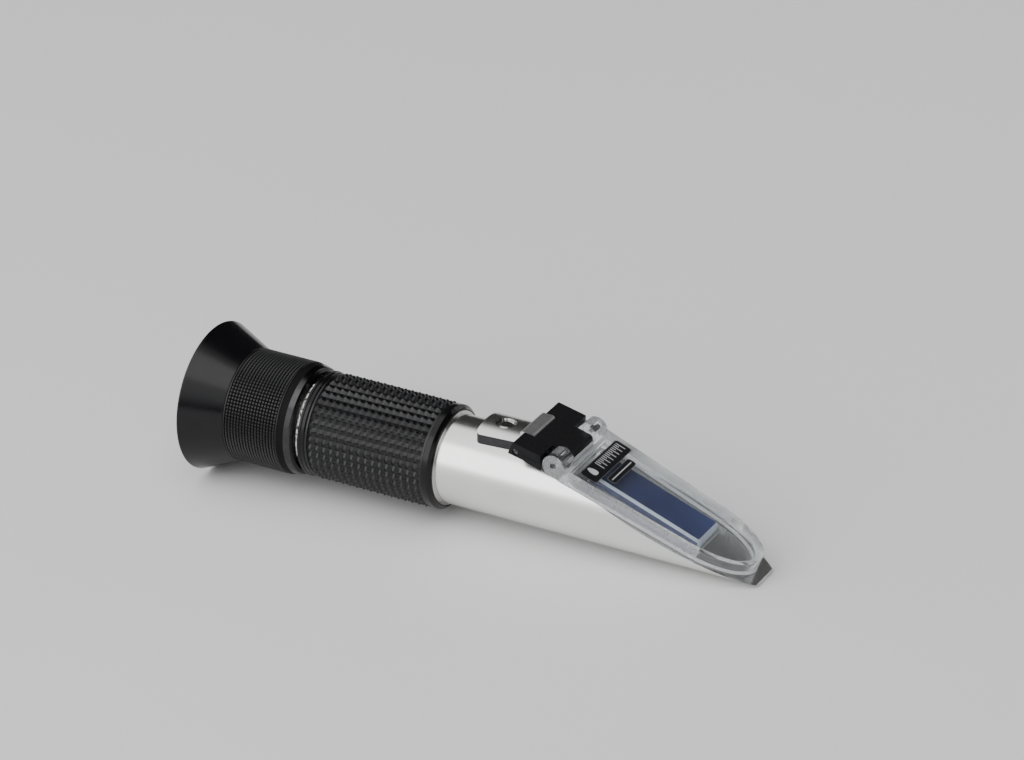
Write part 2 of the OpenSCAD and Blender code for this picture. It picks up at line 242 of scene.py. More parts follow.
def smooth(obj, angle=32, even=True):
    """Smooth shading with creases above angle, and the large faces' normals kept flat."""
    obj.data.polygons.foreach_set("use_smooth", [True] * len(obj.data.polygons))
    obj.data.set_sharp_from_angle(angle=math.radians(angle))
    if even:
        normals = obj.modifiers.new("normals", "WEIGHTED_NORMAL")
        normals.keep_sharp = True
        settle(obj)
    return obj


def body_of(node):
    """The body that a CAD node belongs to."""
    return next(body for body, nodes in BODIES.items() if node in nodes)


def stand_for(obj, node, *finishes):
    """obj takes the place and the body of a CAD node, and is given these materials."""
    for finish in finishes:
        obj.data.materials.append(finish)
    moved(obj, Matrix.Scale(MM, 4))
    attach(obj, body_of(node))
    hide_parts(node)
    return obj


def finish_where(obj, index, test):
    """Gives the faces whose centre, in mm, and normal pass the test another of the materials."""
    for face in obj.data.polygons:
        if test(face.center / MM, face.normal):
            face.material_index = index


# ---- materials -----------------------------------------------------------------------------

def node_of(tree, kind, **inputs):
    """A shader node with some inputs set."""
    node = tree.nodes.new(kind)
    for key, value in inputs.items():
        node.inputs[key.replace("_", " ")].default_value = value
    return node


def ranged(tree, value, start, end, low=0.0, high=1.0):
    """A number that goes from low to high as the value goes from start to end."""
    node = node_of(tree, "ShaderNodeMapRange", From_Min=start, From_Max=end, To_Min=low,
                   To_Max=high)
    tree.links.new(value, node.inputs["Value"])
    return node.outputs["Result"]


def mixed(tree, factor, first, second):
    """A colour between two others, which may be sockets."""
    mix = tree.nodes.new("ShaderNodeMix")
    mix.data_type = "RGBA"
    tree.links.new(factor, mix.inputs["Factor"])
    for name, value in (("A", first), ("B", second)):
        socket = next(s for s in mix.inputs if s.name == name and s.type == "RGBA")
        if isinstance(value, bpy.types.NodeSocket):
            tree.links.new(value, socket)
        else:
            socket.default_value = value
    return next(s for s in mix.outputs if s.type == "RGBA")


# The part of a noise texture's range that most of its values fall in, the pointiness of an outward
# edge from a faint to a full painted edge highlight, and the noise above which a painted glint
# shows
NOISE_RANGE = (0.3, 0.7)
EDGE_HIGHLIGHT_RANGE = (0.52, 0.6)
GLINT_FLAKE_RANGE = (0.475, 0.5)
GLINT_FLAKE_SCALE = 1500.0


def procedural(name, tone, rough, metal=0.0, spread=0.1, patches=120.0, rough_spread=0.06,
               grain=3500.0, grain_depth=0.01, stretch=(1, 1, 1), edge_highlight=None, painted_glint=None,
               **sockets):
    """A material whose colour, roughness and relief vary with noise fixed to the object.

    tone is linear RGB, and spread how far it varies. patches and grain are the noise's scales per
    metre, grain_depth its relief in millimetres, and stretch scales the grain along each axis.
    edge_highlight is the tone of a painted highlight on outward edges, and painted_glint the tone
    of a painted glint laid in broken patches. Other sockets of the shader are set directly."""
    material = bpy.data.materials.new(name)
    material.use_nodes = True
    tree = material.node_tree
    shader = tree.nodes["Principled BSDF"]
    place = tree.nodes.new("ShaderNodeTexCoord").outputs["Object"]

    broad = node_of(tree, "ShaderNodeTexNoise", Scale=patches, Detail=3.0)
    tree.links.new(place, broad.inputs["Vector"])
    dark = (*[c * (1 - spread) for c in tone], 1)
    light = (*[min(1.0, c * (1 + spread)) for c in tone], 1)
    colour = mixed(tree, ranged(tree, broad.outputs["Fac"], *NOISE_RANGE), dark, light)
    # Painted highlight: outward edges, picked out by their pointiness, take a lighter tone
    if edge_highlight:
        edges = tree.nodes.new("ShaderNodeNewGeometry").outputs["Pointiness"]
        colour = mixed(tree, ranged(tree, edges, *EDGE_HIGHLIGHT_RANGE), colour, (*edge_highlight, 1))
    # Painted glint: a bright tone laid in broken patches where a fine noise runs high
    if painted_glint:
        glint_flakes = node_of(tree, "ShaderNodeTexNoise", Scale=GLINT_FLAKE_SCALE, Detail=4.0)
        tree.links.new(place, glint_flakes.inputs["Vector"])
        glint_mask = ranged(tree, glint_flakes.outputs["Fac"], *GLINT_FLAKE_RANGE)
        colour = mixed(tree, glint_mask, colour, (*painted_glint, 1))
    tree.links.new(colour, shader.inputs["Base Color"])

    mapping = tree.nodes.new("ShaderNodeMapping")
    mapping.inputs["Scale"].default_value = stretch
    tree.links.new(place, mapping.inputs["Vector"])
    fine = node_of(tree, "ShaderNodeTexNoise", Scale=grain, Detail=2.0)
    tree.links.new(mapping.outputs["Vector"], fine.inputs["Vector"])
    roughness = ranged(tree, fine.outputs["Fac"], *NOISE_RANGE,
                       max(0.0, rough - rough_spread), rough + rough_spread)
    tree.links.new(roughness, shader.inputs["Roughness"])
    relief = node_of(tree, "ShaderNodeBump", Strength=1.0, Distance=grain_depth * MM)
    tree.links.new(fine.outputs["Fac"], relief.inputs["Height"])
    tree.links.new(relief.outputs["Normal"], shader.inputs["Normal"])

    shader.inputs["Metallic"].default_value = metal
    for key, value in sockets.items():
        shader.inputs[key.replace("_", " ")].default_value = value
    return material


# The materials given an edge tone (blasted_metal, dark_steel, black_anodised, grip_rubber and
# black_plastic) carry a painted highlight on their outward edges
chrome = procedural("satin_chrome", (0.80, 0.795, 0.785), 0.23, metal=1.0, spread=0.02,
                    rough_spread=0.03, grain=9000.0, grain_depth=0.0004, stretch=(1, 0.04, 0.04))
blasted = procedural("blasted_metal", (0.36, 0.36, 0.37), 0.44, metal=1.0, spread=0.12,
                     patches=900.0, grain=9000.0, grain_depth=0.012, edge_highlight=(0.75, 0.75, 0.74))
bare = procedural("turned_metal", (0.62, 0.61, 0.59), 0.24, metal=1.0, spread=0.08,
                  grain=12000.0, grain_depth=0.002, stretch=(1, 0.03, 0.03))
# Black with a painted glint: bright grey patches standing for light caught on the stop collar's
# rear edge
painted_glint_edge = procedural("painted_glint_anodising", (0.006, 0.006, 0.006), 0.35, spread=0.3,
                          patches=900.0, painted_glint=(0.60, 0.59, 0.58), grain=9000.0)
steel = procedural("dark_steel", (0.08, 0.08, 0.085), 0.38, metal=1.0, spread=0.25,
                   patches=900.0, grain=8000.0, grain_depth=0.004, edge_highlight=(0.35, 0.35, 0.34))
polished_rim = procedural("polished_rim", (0.06, 0.06, 0.062), 0.2, metal=1.0, spread=0.12,
                          patches=500.0, grain=9000.0, grain_depth=0.001, stretch=(1, 0.04, 0.04))
# Chrome darkened to a painted dark reflection, for the pad's walls
chrome_painted_dark_reflection = procedural("chrome_painted_dark_reflection", (0.06, 0.06, 0.063), 0.34, metal=1.0, spread=0.15,
                         patches=500.0, grain=8000.0, grain_depth=0.002)
screw_steel = procedural("screw_steel", (0.50, 0.50, 0.49), 0.2, metal=1.0, spread=0.15,
                         patches=700.0, grain=8000.0, grain_depth=0.002)
anodised = procedural("black_anodised", (0.004, 0.004, 0.0045), 0.2, spread=0.15,
                      rough_spread=0.04, grain=7000.0, grain_depth=0.0015, stretch=(1, 0.1, 0.1),
                      edge_highlight=(0.03, 0.03, 0.03), Specular_IOR_Level=0.26)
matt = procedural("matt_black", (0.004, 0.004, 0.004), 0.6, spread=0.2, grain_depth=0.006,
                  Specular_IOR_Level=0.1)
rubber = procedural("grip_rubber", (0.0036, 0.0036, 0.0046), 0.28, spread=0.25, patches=260.0,
                    rough_spread=0.08, grain=5200.0, grain_depth=0.004, edge_highlight=(0.014, 0.014, 0.016),
                    Specular_IOR_Level=0.4)
sleeve_rubber = procedural("sleeve_rubber", (0.0055, 0.0055, 0.006), 0.4, spread=0.2,
                           patches=260.0, grain=5200.0, grain_depth=0.004,
                           Specular_IOR_Level=0.34)
cup_rubber = procedural("eyecup_rubber", (0.004, 0.004, 0.005), 0.2, spread=0.2, patches=160.0,
                        rough_spread=0.04, grain=1800.0, grain_depth=0.001,
                        Specular_IOR_Level=0.32)
plastic = procedural("black_plastic", (0.005, 0.005, 0.006), 0.28, spread=0.2, rough_spread=0.06,
                     grain=6000.0, grain_depth=0.002, edge_highlight=(0.012, 0.012, 0.013),
                     Specular_IOR_Level=0.12)
acrylic = procedural("clear_acrylic", (0.93, 0.95, 0.965), 0.05, spread=0.01, rough_spread=0.02,
                     grain=900.0, grain_depth=0.0006, Transmission_Weight=0.98, IOR=1.22,
                     Coat_Weight=0.8, Coat_Roughness=0.04, Coat_IOR=1.49)
frosted = procedural("acrylic_edge", (0.90, 0.92, 0.94), 0.3, spread=0.02, rough_spread=0.08,
                     grain=4000.0, grain_depth=0.004, Transmission_Weight=0.78, IOR=1.3)
frosted_base = procedural("frosted_base", (0.90, 0.92, 0.94), 0.5, spread=0.04, grain=4000.0,
                          grain_depth=0.004)
lens_glass = procedural("coated_glass", (0.93, 0.96, 0.98), 0.02, spread=0.01, rough_spread=0.01,
                        grain=600.0, grain_depth=0.0001, Transmission_Weight=1.0, IOR=1.52,
                        Specular_Tint=(0.16, 0.13, 0.24, 1))
prism_glass = procedural("prism_glass", (0.030, 0.048, 0.165), 0.08, spread=0.3, patches=60.0,
                         rough_spread=0.03, grain=900.0, grain_depth=0.0005, Coat_Weight=0.5,
                         IOR=1.52)
ground_glass = procedural("ground_glass_edge", (0.66, 0.73, 0.84), 0.35, spread=0.1,
                          rough_spread=0.1, grain=9000.0, grain_depth=0.003)
cement = procedural("optical_cement", (0.50, 0.50, 0.48), 0.45, spread=0.15, patches=400.0,
                    grain=3000.0, grain_depth=0.01)
brass = procedural("machined_brass", (0.72, 0.53, 0.24), 0.3, metal=1.0, spread=0.1,
                   grain=9000.0, grain_depth=0.002, stretch=(1, 0.05, 0.05))
bimetal = procedural("rolled_bimetal", (0.70, 0.50, 0.36), 0.34, metal=1.0, spread=0.12,
                     grain=9000.0, grain_depth=0.002, stretch=(0.05, 1, 1))
ink = procedural("screen_ink", (0.008, 0.008, 0.01), 0.4, spread=0.2, patches=900.0,
                 grain_depth=0.002, Specular_IOR_Level=0.2)
grey_ink = procedural("grey_ink", (0.10, 0.10, 0.11), 0.45, spread=0.08, patches=900.0,
                      grain_depth=0.002)
pale_ink = procedural("pale_ink", (0.50, 0.51, 0.53), 0.45, spread=0.08, patches=900.0,
                      grain_depth=0.002)


# ---- eyecup and focus ring -----------------------------------------------------------------

eyecup = turned("eyecup_shell", soften(
    [(0, MOUTH_R, 0.5), (0, CUP_R, 0.4), (CUP_L, SLEEVE_R, 0.2), (CUP_L, CUP_FIT_R, 0.1),
     (RING_X0, CUP_FIT_R, 0.1), (RING_X0, 12.6, 0.1), (5.9, 12.6, 0.2), (3, MOUTH_R, 1.2)], 0.2, 6))
stand_for(smooth(eyecup), "eyecup", cup_rubber)

# The focus sleeve: rings cut by shallower lengthwise grooves, between two plain edge rings
CHECK_RINGS = 17
CHECK_SPOKES = 104
CHECK_X0 = CUP_L + 0.55
CHECK_X1 = SLEEVE_X1 - 0.45
# Where a check's flat top starts and ends, as a part of the pitch
TOP_START = 0.26
TOP_END = 0.8
ring_pitch = (CHECK_X1 - CHECK_X0) / CHECK_RINGS
stations, kinds = [CUP_L, CUP_L + 0.1, CHECK_X0 - 0.1], ["rim", "edge", "edge"]
for ring in range(CHECK_RINGS):
    x = CHECK_X0 + ring * ring_pitch
    stations += [x, x + TOP_START * ring_pitch, x + TOP_END * ring_pitch]
    kinds += ["groove", "top", "top"]
stations += [CHECK_X1, CHECK_X1 + 0.1, SLEEVE_X1 - 0.1, SLEEVE_X1]
kinds += ["groove", "edge", "edge", "rim"]
spokes = [2 * math.pi * (j // 3 + (0, TOP_START, TOP_END)[j % 3]) / CHECK_SPOKES
          for j in range(3 * CHECK_SPOKES)]
CHECK_R = {"rim": SLEEVE_R - 0.16, "edge": SLEEVE_R - 0.02, "groove": SLEEVE_R - 0.4}
LENGTHWISE_GROOVE_R = SLEEVE_R - 0.24


def check_radius(i, j):
    """Radius of the checkering's skin at a station and a spoke."""
    if kinds[i] in CHECK_R:
        return CHECK_R[kinds[i]]
    return LENGTHWISE_GROOVE_R if j % 3 == 0 else SLEEVE_R


sleeve = knurled("checkered_sleeve", stations, spokes, check_radius, RING_CORE_R)
stand_for(smooth(sleeve, 24, even=False), "focus_sleeve", sleeve_rubber)

# The focus ring: its collar in front of the sleeve is matt, then polished towards the round rim
POLISHED_X0 = 28.9
POLISHED_X1 = 30.6
COLLAR_X0 = SLEEVE_X1 + 0.02
COLLAR_OUTSIDE_R = 13.0
THREAD_R = NECK_R + 0.05
collar = turned("focus_collar", soften(
    [(RING_X0, 12.5), (RING_X0, CUP_FIT_R), (CUP_L, CUP_FIT_R), (CUP_L, RING_CORE_R),
     (COLLAR_X0, RING_CORE_R), (COLLAR_X0, 14.86, 0.15), (POLISHED_X0, 14.66, 0.5),
     (30.4, 14.2, 0.6), (RING_X1, 13.3, 0.25), (RING_X1, THREAD_R, 0.1), (12.1, THREAD_R),
     (12.1, 12.5)], 0.05, 5))
stand_for(smooth(collar), "focus_ring", anodised, polished_rim, matt)
finish_where(collar, 1, lambda centre, normal: POLISHED_X0 < centre.x < POLISHED_X1
             and centre.yz.length > COLLAR_OUTSIDE_R)
finish_where(collar, 2, lambda centre, normal: SLEEVE_X1 < centre.x < POLISHED_X0
             and centre.yz.length > COLLAR_OUTSIDE_R)

# The retaining ring, with two slots for a pin spanner
SLOT_X = 9.2
retainer = turned("cell_retainer_ring", soften(
    [(8.6, 9.3), (8.6, 12.45), (9.95, 12.45), (9.95, 9.0), (SLOT_X, 9.0)], 0.1))
combine(retainer, "DIFFERENCE", *[
    extruded("spanner_slot", [(8, side * 9), (SLOT_X, side * 9), (SLOT_X, side * 13),
                              (8, side * 13)], -0.6, 0.6) for side in (-1, 1)])
stand_for(smooth(edged(retainer, 0.06)), "cell_retainer", matt)

# ---- barrel --------------------------------------------------------------------------------

# The focus thread on the barrel's neck, which shows in the gap in front of the focus ring
THREAD_X0 = 26.8
THREAD_PITCH = 0.5
THREAD_TURNS = 10
CELL_BORE_R = 10.05
thread = []
for k in range(THREAD_TURNS):
    x = THREAD_X0 + k * THREAD_PITCH
    thread += [(x, NECK_R - 0.25), (x + 0.2, NECK_R), (x + 0.3, NECK_R)]
barrel = turned("barrel_and_thread", [
    (14, CELL_BORE_R), (14, NECK_R), (THREAD_X0 - 0.3, NECK_R), *thread, (31.85, NECK_R - 0.3),
    (STOP_X0, NECK_R - 0.3), (STOP_X0, BARREL_R), (BODY_X, BARREL_R), (BODY_X, BARREL_BORE_R),
    (48, BARREL_BORE_R), (48, 8.8), (45, 8.8), (45, CELL_BORE_R)])
stand_for(smooth(barrel), "barrel_tube", bare)

# The collar that the focus ring stops against: a painted glint lies along its rear edge, on the
# near side and above the part that faces the floor, where the light catches it
GLINT_CHAMFER_W = 0.7
GLINT_Y = -4.0
GLINT_Z = -4.0
stop = turned("stop_collar_ring", soften(
    [(STOP_X0, BARREL_R, 0), (STOP_X0, 13.4, 0.1), (STOP_X0 + GLINT_CHAMFER_W, 13.9, 0.1),
     (STOP_X0 + 1.3, 13.95, 0.3), (STOP_X0 + 1.5, 13.7, 0.1), (GRIP_X0 - 0.3, 13.7, 0.15),
     (GRIP_X0, 13.5, 0.1), (GRIP_X0, BARREL_R, 0)], 0.1))
stand_for(smooth(stop), "stop_collar", anodised, painted_glint_edge)
finish_where(stop, 1, lambda centre, normal: centre.x < STOP_X0 + GLINT_CHAMFER_W
             and centre.y < GLINT_Y and centre.z > GLINT_Z)

# The rubber grip: a grid of square pyramids between two plain end bands. FLAT is the width of a
# pyramid's flat top as a part of the pitch.
GRIP_COLUMNS = 16
GRIP_ROWS = 38
BAND = 0.85
FLAT = 0.12
TOP_EDGES = (0.5 - FLAT / 2, 0.5 + FLAT / 2)
GROOVE_R = GRIP_R - 0.78
BAND_R = GRIP_R - 0.42
pitch = (GRIP_X1 - GRIP_X0 - 2 * BAND) / GRIP_COLUMNS
grip_stations = [GRIP_X0, GRIP_X0 + 0.15, GRIP_X0 + BAND - 0.2]
grip_kinds = ["rim", "band", "band"]
for column in range(GRIP_COLUMNS):
    x = GRIP_X0 + BAND + column * pitch
    grip_stations += [x, x + TOP_EDGES[0] * pitch, x + TOP_EDGES[1] * pitch]
    grip_kinds += ["groove", "top", "top"]
grip_stations += [GRIP_X1 - BAND, GRIP_X1 - BAND + 0.2, GRIP_X1 - 0.15, GRIP_X1]
grip_kinds += ["groove", "band", "band", "rim"]
grip_spokes = [2 * math.pi * (j // 3 + (0, *TOP_EDGES)[j % 3]) / GRIP_ROWS
               for j in range(3 * GRIP_ROWS)]
GRIP_RADII = {"rim": BAND_R - 0.12, "band": BAND_R, "groove": GROOVE_R}


def pyramid_radius(i, j):
    """Radius of the grip's skin at a station and a spoke."""
    if grip_kinds[i] in GRIP_RADII:
        return GRIP_RADII[grip_kinds[i]]
    return GROOVE_R if j % 3 == 0 else GRIP_R


grip = knurled("pyramid_grip", grip_stations, grip_spokes, pyramid_radius, BARREL_R)
stand_for(smooth(edged(grip, 0.05, 1, 24), 18, even=False), "rubber_grip", rubber)

# The ring at the front end of the grip
ring = turned("front_grip_ring", soften(
    [(GRIP_X1, BARREL_R, 0), (GRIP_X1, 13.78, 0.15), (BODY_X - 1.05, 13.78, 0.15),
     (BODY_X - 0.3, 12.95, 0.15), (BODY_X, 12.8, 0.1), (BODY_X, BARREL_R, 0)], 0.1))
stand_for(smooth(ring), "grip_ring", anodised)

# ---- front body ----------------------------------------------------------------------------

# A turned blank, cut by the seat's plane. Its spigot fits the barrel.
SPIGOT_X0 = 58.0
body = turned("front_body_shell", soften(
    [(SPIGOT_X0, 0, 0), (SPIGOT_X0, BARREL_BORE_R, 0), (BODY_X, BARREL_BORE_R, 0),
     (BODY_X, BODY_R, 0.15), (TOTAL_L, BODY_R, 0), (TOTAL_L, 0, 0)], 0.1, 3), 256)
combine(body, "DIFFERENCE", moved(extruded(
    "above_seat", [(-30, 0), (100, 0), (100, 60), (-30, 60)], -30, 30), SEAT))

# The pad for the calibration screw: its top is round about the axis, and it narrows to the hinge
PAD_X0 = 80.6
PAD_X1 = 92.2
PAD_HALF0 = 6.4
PAD_HALF1 = 5.9
CROWN_HALF = 9
pad = extruded("pad", soften(
    [(PAD_X0, -PAD_HALF0, 1.6), (PAD_X1, -PAD_HALF1, 0.2), (PAD_X1, PAD_HALF1, 0.2),
     (PAD_X0, PAD_HALF0, 1.6)], 0.2, 8), 7, 16, "XY")
combine(pad, "UNION", extruded("lug_foot", [
    (PAD_X1 - 0.2, -LUG_W / 2), (LUG_X0 + 0.2, -LUG_W / 2), (LUG_X0 + 0.2, LUG_W / 2),
    (PAD_X1 - 0.2, LUG_W / 2)], 7, 16, "XY"))
across = [CROWN_HALF - k / 2 for k in range(4 * CROWN_HALF + 1)]
crown = [(-CROWN_HALF, 6), (CROWN_HALF, 6), *[(y, math.sqrt(PAD_R ** 2 - y ** 2)) for y in across]]
combine(pad, "INTERSECT", extruded("crown", crown, 70, 100, "YZ"))
lug = extruded("lug", soften(
    [(LUG_X0, 8, 0), (LUG_X1, 8, 0), (LUG_X1, LUG_TOP, 1.3), (LUG_X0, LUG_TOP, 0.8)], 0.1, 6),
    -LUG_W / 2, LUG_W / 2)
combine(body, "UNION", pad, lug)

# The prism's pocket, the screw's bore, the light path and the bore of the lens arm's pivot
MARGIN = 0.4
pocket_top = PRISM_PROUD + 1
combine(body, "DIFFERENCE",
        extruded("pocket", [(PRISM_X0 - MARGIN, seat_height(PRISM_X0 - MARGIN, pocket_top)),
                            (PRISM_X1 + MARGIN, seat_height(PRISM_X1 + MARGIN, pocket_top)),
                            (PRISM_X1 + MARGIN, PRISM_FLOOR - MARGIN),
                            (PRISM_X0 - MARGIN, PRISM_FLOOR - MARGIN)],
                 -PRISM_W / 2 - MARGIN, PRISM_W / 2 + MARGIN),
        extruded("screw_bore", circle((SCREW_X, 0), SCREW_R + 0.07), 0, 20, "XY"))
edged(body, 0.16, 2, 32)
PATH_R = 9.2
PATH_X1 = 108.6
APERTURE_R = 4.8
combine(body, "DIFFERENCE",
        turned("light_path", [(SPIGOT_X0 - 1, 0), (SPIGOT_X0 - 1, PATH_R), (SEAT_X, PATH_R),
                              (SEAT_X, APERTURE_R), (PRISM_X0 + 1, APERTURE_R),
                              (PRISM_X0 + 1, 0)], 96),
        extruded("pivot_bore", circle((76, -7), 0.8, 32), 0, 13))
stand_for(smooth(body, 35), "front_body", chrome, blasted, matt, chrome_painted_dark_reflection)
# The lug's skin, the inside of the light path, and the pad's walls, which are chrome darkened to a
# painted dark reflection
finish_where(body, 1, lambda centre, normal: LUG_X0 - 0.2 < centre.x < LUG_X1 + 0.2
             and centre.z > LUG_SKIN_Z)
finish_where(body, 2, lambda centre, normal: centre.x < PATH_X1
             and centre.yz.length < PATH_R + 0.05)
finish_where(body, 3, lambda centre, normal: PAD_X0 - 0.2 < centre.x < PAD_X1 + 0.8
             and abs(centre.y) < 8 and abs(normal.z) < 0.5
             and centre.yz.length > BODY_R + 0.15)

# ---- prism ---------------------------------------------------------------------------------

prism = extruded("measuring_prism", [
    (PRISM_X0, seat_height(PRISM_X0, PRISM_PROUD)), (PRISM_X1, seat_height(PRISM_X1, PRISM_PROUD)),
    (PRISM_X1, PRISM_FLOOR), (PRISM_X0, PRISM_FLOOR)], -PRISM_W / 2, PRISM_W / 2)
PRISM_CHAMFER = 0.6
edged(prism, PRISM_CHAMFER, 1, 30)
stand_for(smooth(prism, 20), "main_prism", prism_glass, ground_glass)
# The chamfers round its measuring face are ground
finish_where(prism, 1, lambda centre, normal: 0.2 < normal.dot(SLOPE_UP) < 0.97)

# ---- calibration screw ---------------------------------------------------------------------

# The screw is turned about X, then stood up on Z at its place
HEAD_Z = PAD_R - 0.45
SLOT_DEPTH = 1.1
SLOT_HALF = 0.45
SLOT_TURN = math.radians(25)
screw = turned("calibration_screw_head", soften(
    [(7.95, 0, 0), (7.95, 1.2, 0.2), (9.5, 1.2, 0.1), (9.5, SCREW_R - 0.25, 0.1),
     (9.9, SCREW_R, 0.1), (HEAD_Z - 0.45, SCREW_R, 0.2), (HEAD_Z, 1.4, 0.8), (HEAD_Z, 0, 0)], 0.1),
    96)
moved(screw, Matrix.Translation((SCREW_X, 0, 0)) @ Matrix.Rotation(-math.pi / 2, 4, "Y"))
slot = extruded("driver_slot", [(-4, HEAD_Z - SLOT_DEPTH), (4, HEAD_Z - SLOT_DEPTH),
                                (4, HEAD_Z + 2), (-4, HEAD_Z + 2)], -SLOT_HALF, SLOT_HALF)
moved(slot, Matrix.Translation((SCREW_X, 0, 0)) @ Matrix.Rotation(SLOT_TURN, 4, "Z"))
combine(screw, "DIFFERENCE", slot)
stand_for(smooth(edged(screw, 0.08, 2, 30)), "calibration_screw", screw_steel)

# ---- hinge block ---------------------------------------------------------------------------

BLOCK_FRONT = 102.4
LUG_NOTCH_R = 2.9
KNUCKLE_ROOM_R = 3.3
front_z = seat_height(BLOCK_FRONT)
block = extruded("hinge_block_body", soften(
    [(94.5, 16.3, 0.4), (93.1, 13, 0.3), (97.2, 12.1, 0.2), (BLOCK_FRONT, front_z + 0.4, 0.2),
     (BLOCK_FRONT, 14.5, 0.2)], 0.2), -BLOCK_W / 2, BLOCK_W / 2)
tongue = extruded("tongue", soften(
    [(BLOCK_FRONT - 1, front_z + 0.8, 0), (106.9, 10.1, 0.4), (107.7, 11.4, 0.4),
     (107.7, 12.6, 0.3), (107.1, 13.2, 0.3), (BLOCK_FRONT - 1, 14.73, 0)], 0.2),
    -TONGUE_W / 2, TONGUE_W / 2)
combine(block, "UNION", tongue)
arm_gap = LUG_W / 2 + 0.35
combine(block, "DIFFERENCE",
        extruded("lug_notch", circle(REAR_PIN, LUG_NOTCH_R), -arm_gap, arm_gap),
        extruded("lug_gap", [(90, 9), (REAR_PIN[0], 9), (REAR_PIN[0], 20), (90, 20)],
                 -arm_gap, arm_gap),
        *[extruded("knuckle_room", circle(FRONT_PIN, KNUCKLE_ROOM_R), *sorted(
            (side * TONGUE_W / 2, side * BLOCK_W))) for side in (-1, 1)],
        moved(turned("dimple", [(-1, 0), (-1, 0.55), (0.35, 0.12), (0.35, 0)], 32),
              Matrix.Translation((100.2, 5.2, 15.02)) @ Matrix.Rotation(math.pi / 2, 4, "Y")))
edged(block, 0.2, 2, 32)
combine(block, "DIFFERENCE", *[extruded("pin_bore", circle(pin, PIN_R, 48), -15, 15)
                               for pin in (REAR_PIN, FRONT_PIN)])
stand_for(smooth(block, 35), "hinge_block", plastic)


def hinge_pin(name, node, centre, half):
    """A hinge pin along Y with a dimple turned into each end."""
    depth, radius = 0.35, 0.4
    pin = turned(name, soften(
        [(depth - half, 0, 0), (-half, radius, 0.05), (-half, PIN_R, 0.15),
         (half, PIN_R, 0.15), (half, radius, 0.05), (half - depth, 0, 0)], 0), 64)
    moved(pin, Matrix.Translation((centre[0], 0, centre[1])) @ Matrix.Rotation(math.pi / 2, 4, "Z"))
    stand_for(smooth(pin), node, steel)


hinge_pin("rear_pin", "rear_hinge_pin", REAR_PIN, BLOCK_W / 2 - 0.3)
hinge_pin("front_pin", "front_hinge_pin", FRONT_PIN, PLATE_W / 2 - 0.5)

# ---- daylight plate ------------------------------------------------------------------------

KNUCKLE_R = 3.0
PLATE_REAR = HINGE_U + 2.5
PLATE_FLOOR = 0.2
RECESS_V = PRISM_PROUD + 0.3
TIP_STEPS = 40


def edge_y(u):
    """Half width of the plate at a distance along the seat."""
    return PLATE_W / 2 - PLATE_TAPER * (u - HINGE_U)


def plate_plan(inset, rear):
    """Plan of the plate: straight long edges that taper, then a round tip."""
    turns = [math.pi * k / TIP_STEPS for k in range(TIP_STEPS + 1)]
    tip = [(TIP_START + (PLATE_TIP - inset - TIP_START) * math.sin(turn),
            (edge_y(TIP_START) - inset) * math.cos(turn)) for turn in turns]
    return [(rear, edge_y(rear) - inset), *tip, (rear, inset - edge_y(rear))]


plate = extruded("daylight_plate_clear", plate_plan(0, PLATE_REAR), PLATE_FLOOR, PLATE_H, "XY")
# The knuckles reach into the plate by KNUCKLE_ROOT, and stop a hair inside its sides and top
KNUCKLE_ROOT = 1.2
HAIR = 0.001
knuckle_y0 = TONGUE_W / 2 + 0.3
knuckle_y1 = edge_y(PLATE_REAR) - HAIR
cap = [(HINGE_U + KNUCKLE_R * math.sin(math.radians(angle)),
        HINGE_V + KNUCKLE_R * math.cos(math.radians(angle))) for angle in range(66, -181, -6)]
profile = [*cap, (PLATE_REAR + KNUCKLE_ROOT, HINGE_V - KNUCKLE_R + 0.02),
           (PLATE_REAR + KNUCKLE_ROOT, PLATE_H - HAIR)]
for side in (-1, 1):
    combine(plate, "UNION", extruded("knuckle", profile, *sorted(
        (side * knuckle_y0, side * knuckle_y1))))
combine(plate, "DIFFERENCE", extruded(
    "recess", plate_plan(PLATE_RIM, PLATE_REAR + 1.6), -2, RECESS_V, "XY"))
edged(plate, 0.22, 2, 32)
combine(plate, "DIFFERENCE", extruded(
    "pin_hole", circle((HINGE_U, HINGE_V), PIN_R + 0.03, 48), -15, 15))
moved(plate, SEAT)
stand_for(smooth(plate, 35), "daylight_plate", acrylic, frosted, frosted_base)
# The outer sides with the knuckles' outer ends, and the underside of the rim, are frosted
finish_where(plate, 1, lambda centre, normal: abs(normal.dot(SLOPE_UP)) < 0.9
             and (abs(normal.y) > 0.9 or seat_of(centre.x, centre.z)[0] > PLATE_REAR + 1)
             and abs(centre.y) > edge_y(seat_of(centre.x, centre.z)[0]) - 0.3)
finish_where(plate, 2, lambda centre, normal: normal.dot(SLOPE_UP) < -0.9
             and abs(seat_of(centre.x, centre.z)[1] - PLATE_FLOOR) < 0.05)

# Print on the plate, which replaces its lettering: two dark panels with grey borders. The longer
# one has a plain scale and a drop, the shorter one a plain stripe. Each layer of ink stands a
# little above the one under it.
INK = 0.05
BORDER_V = PLATE_H - 0.03
PANEL_V = PLATE_H - 0.01
MARK_V = PLATE_H + 0.03
BORDER = 0.15
PANEL_CORNER = 0.9
SCALE_PANEL = (14.2, 18.9, 9.8)
STRIPE_PANEL = (20.1, 22.4, 5.9)
TICKS = 15
TICK_PITCH = 0.82
TICK_W = 0.24
TICK_ENDS = (17.6, 16.1)
DROP_AT = (16.6, -6.4)


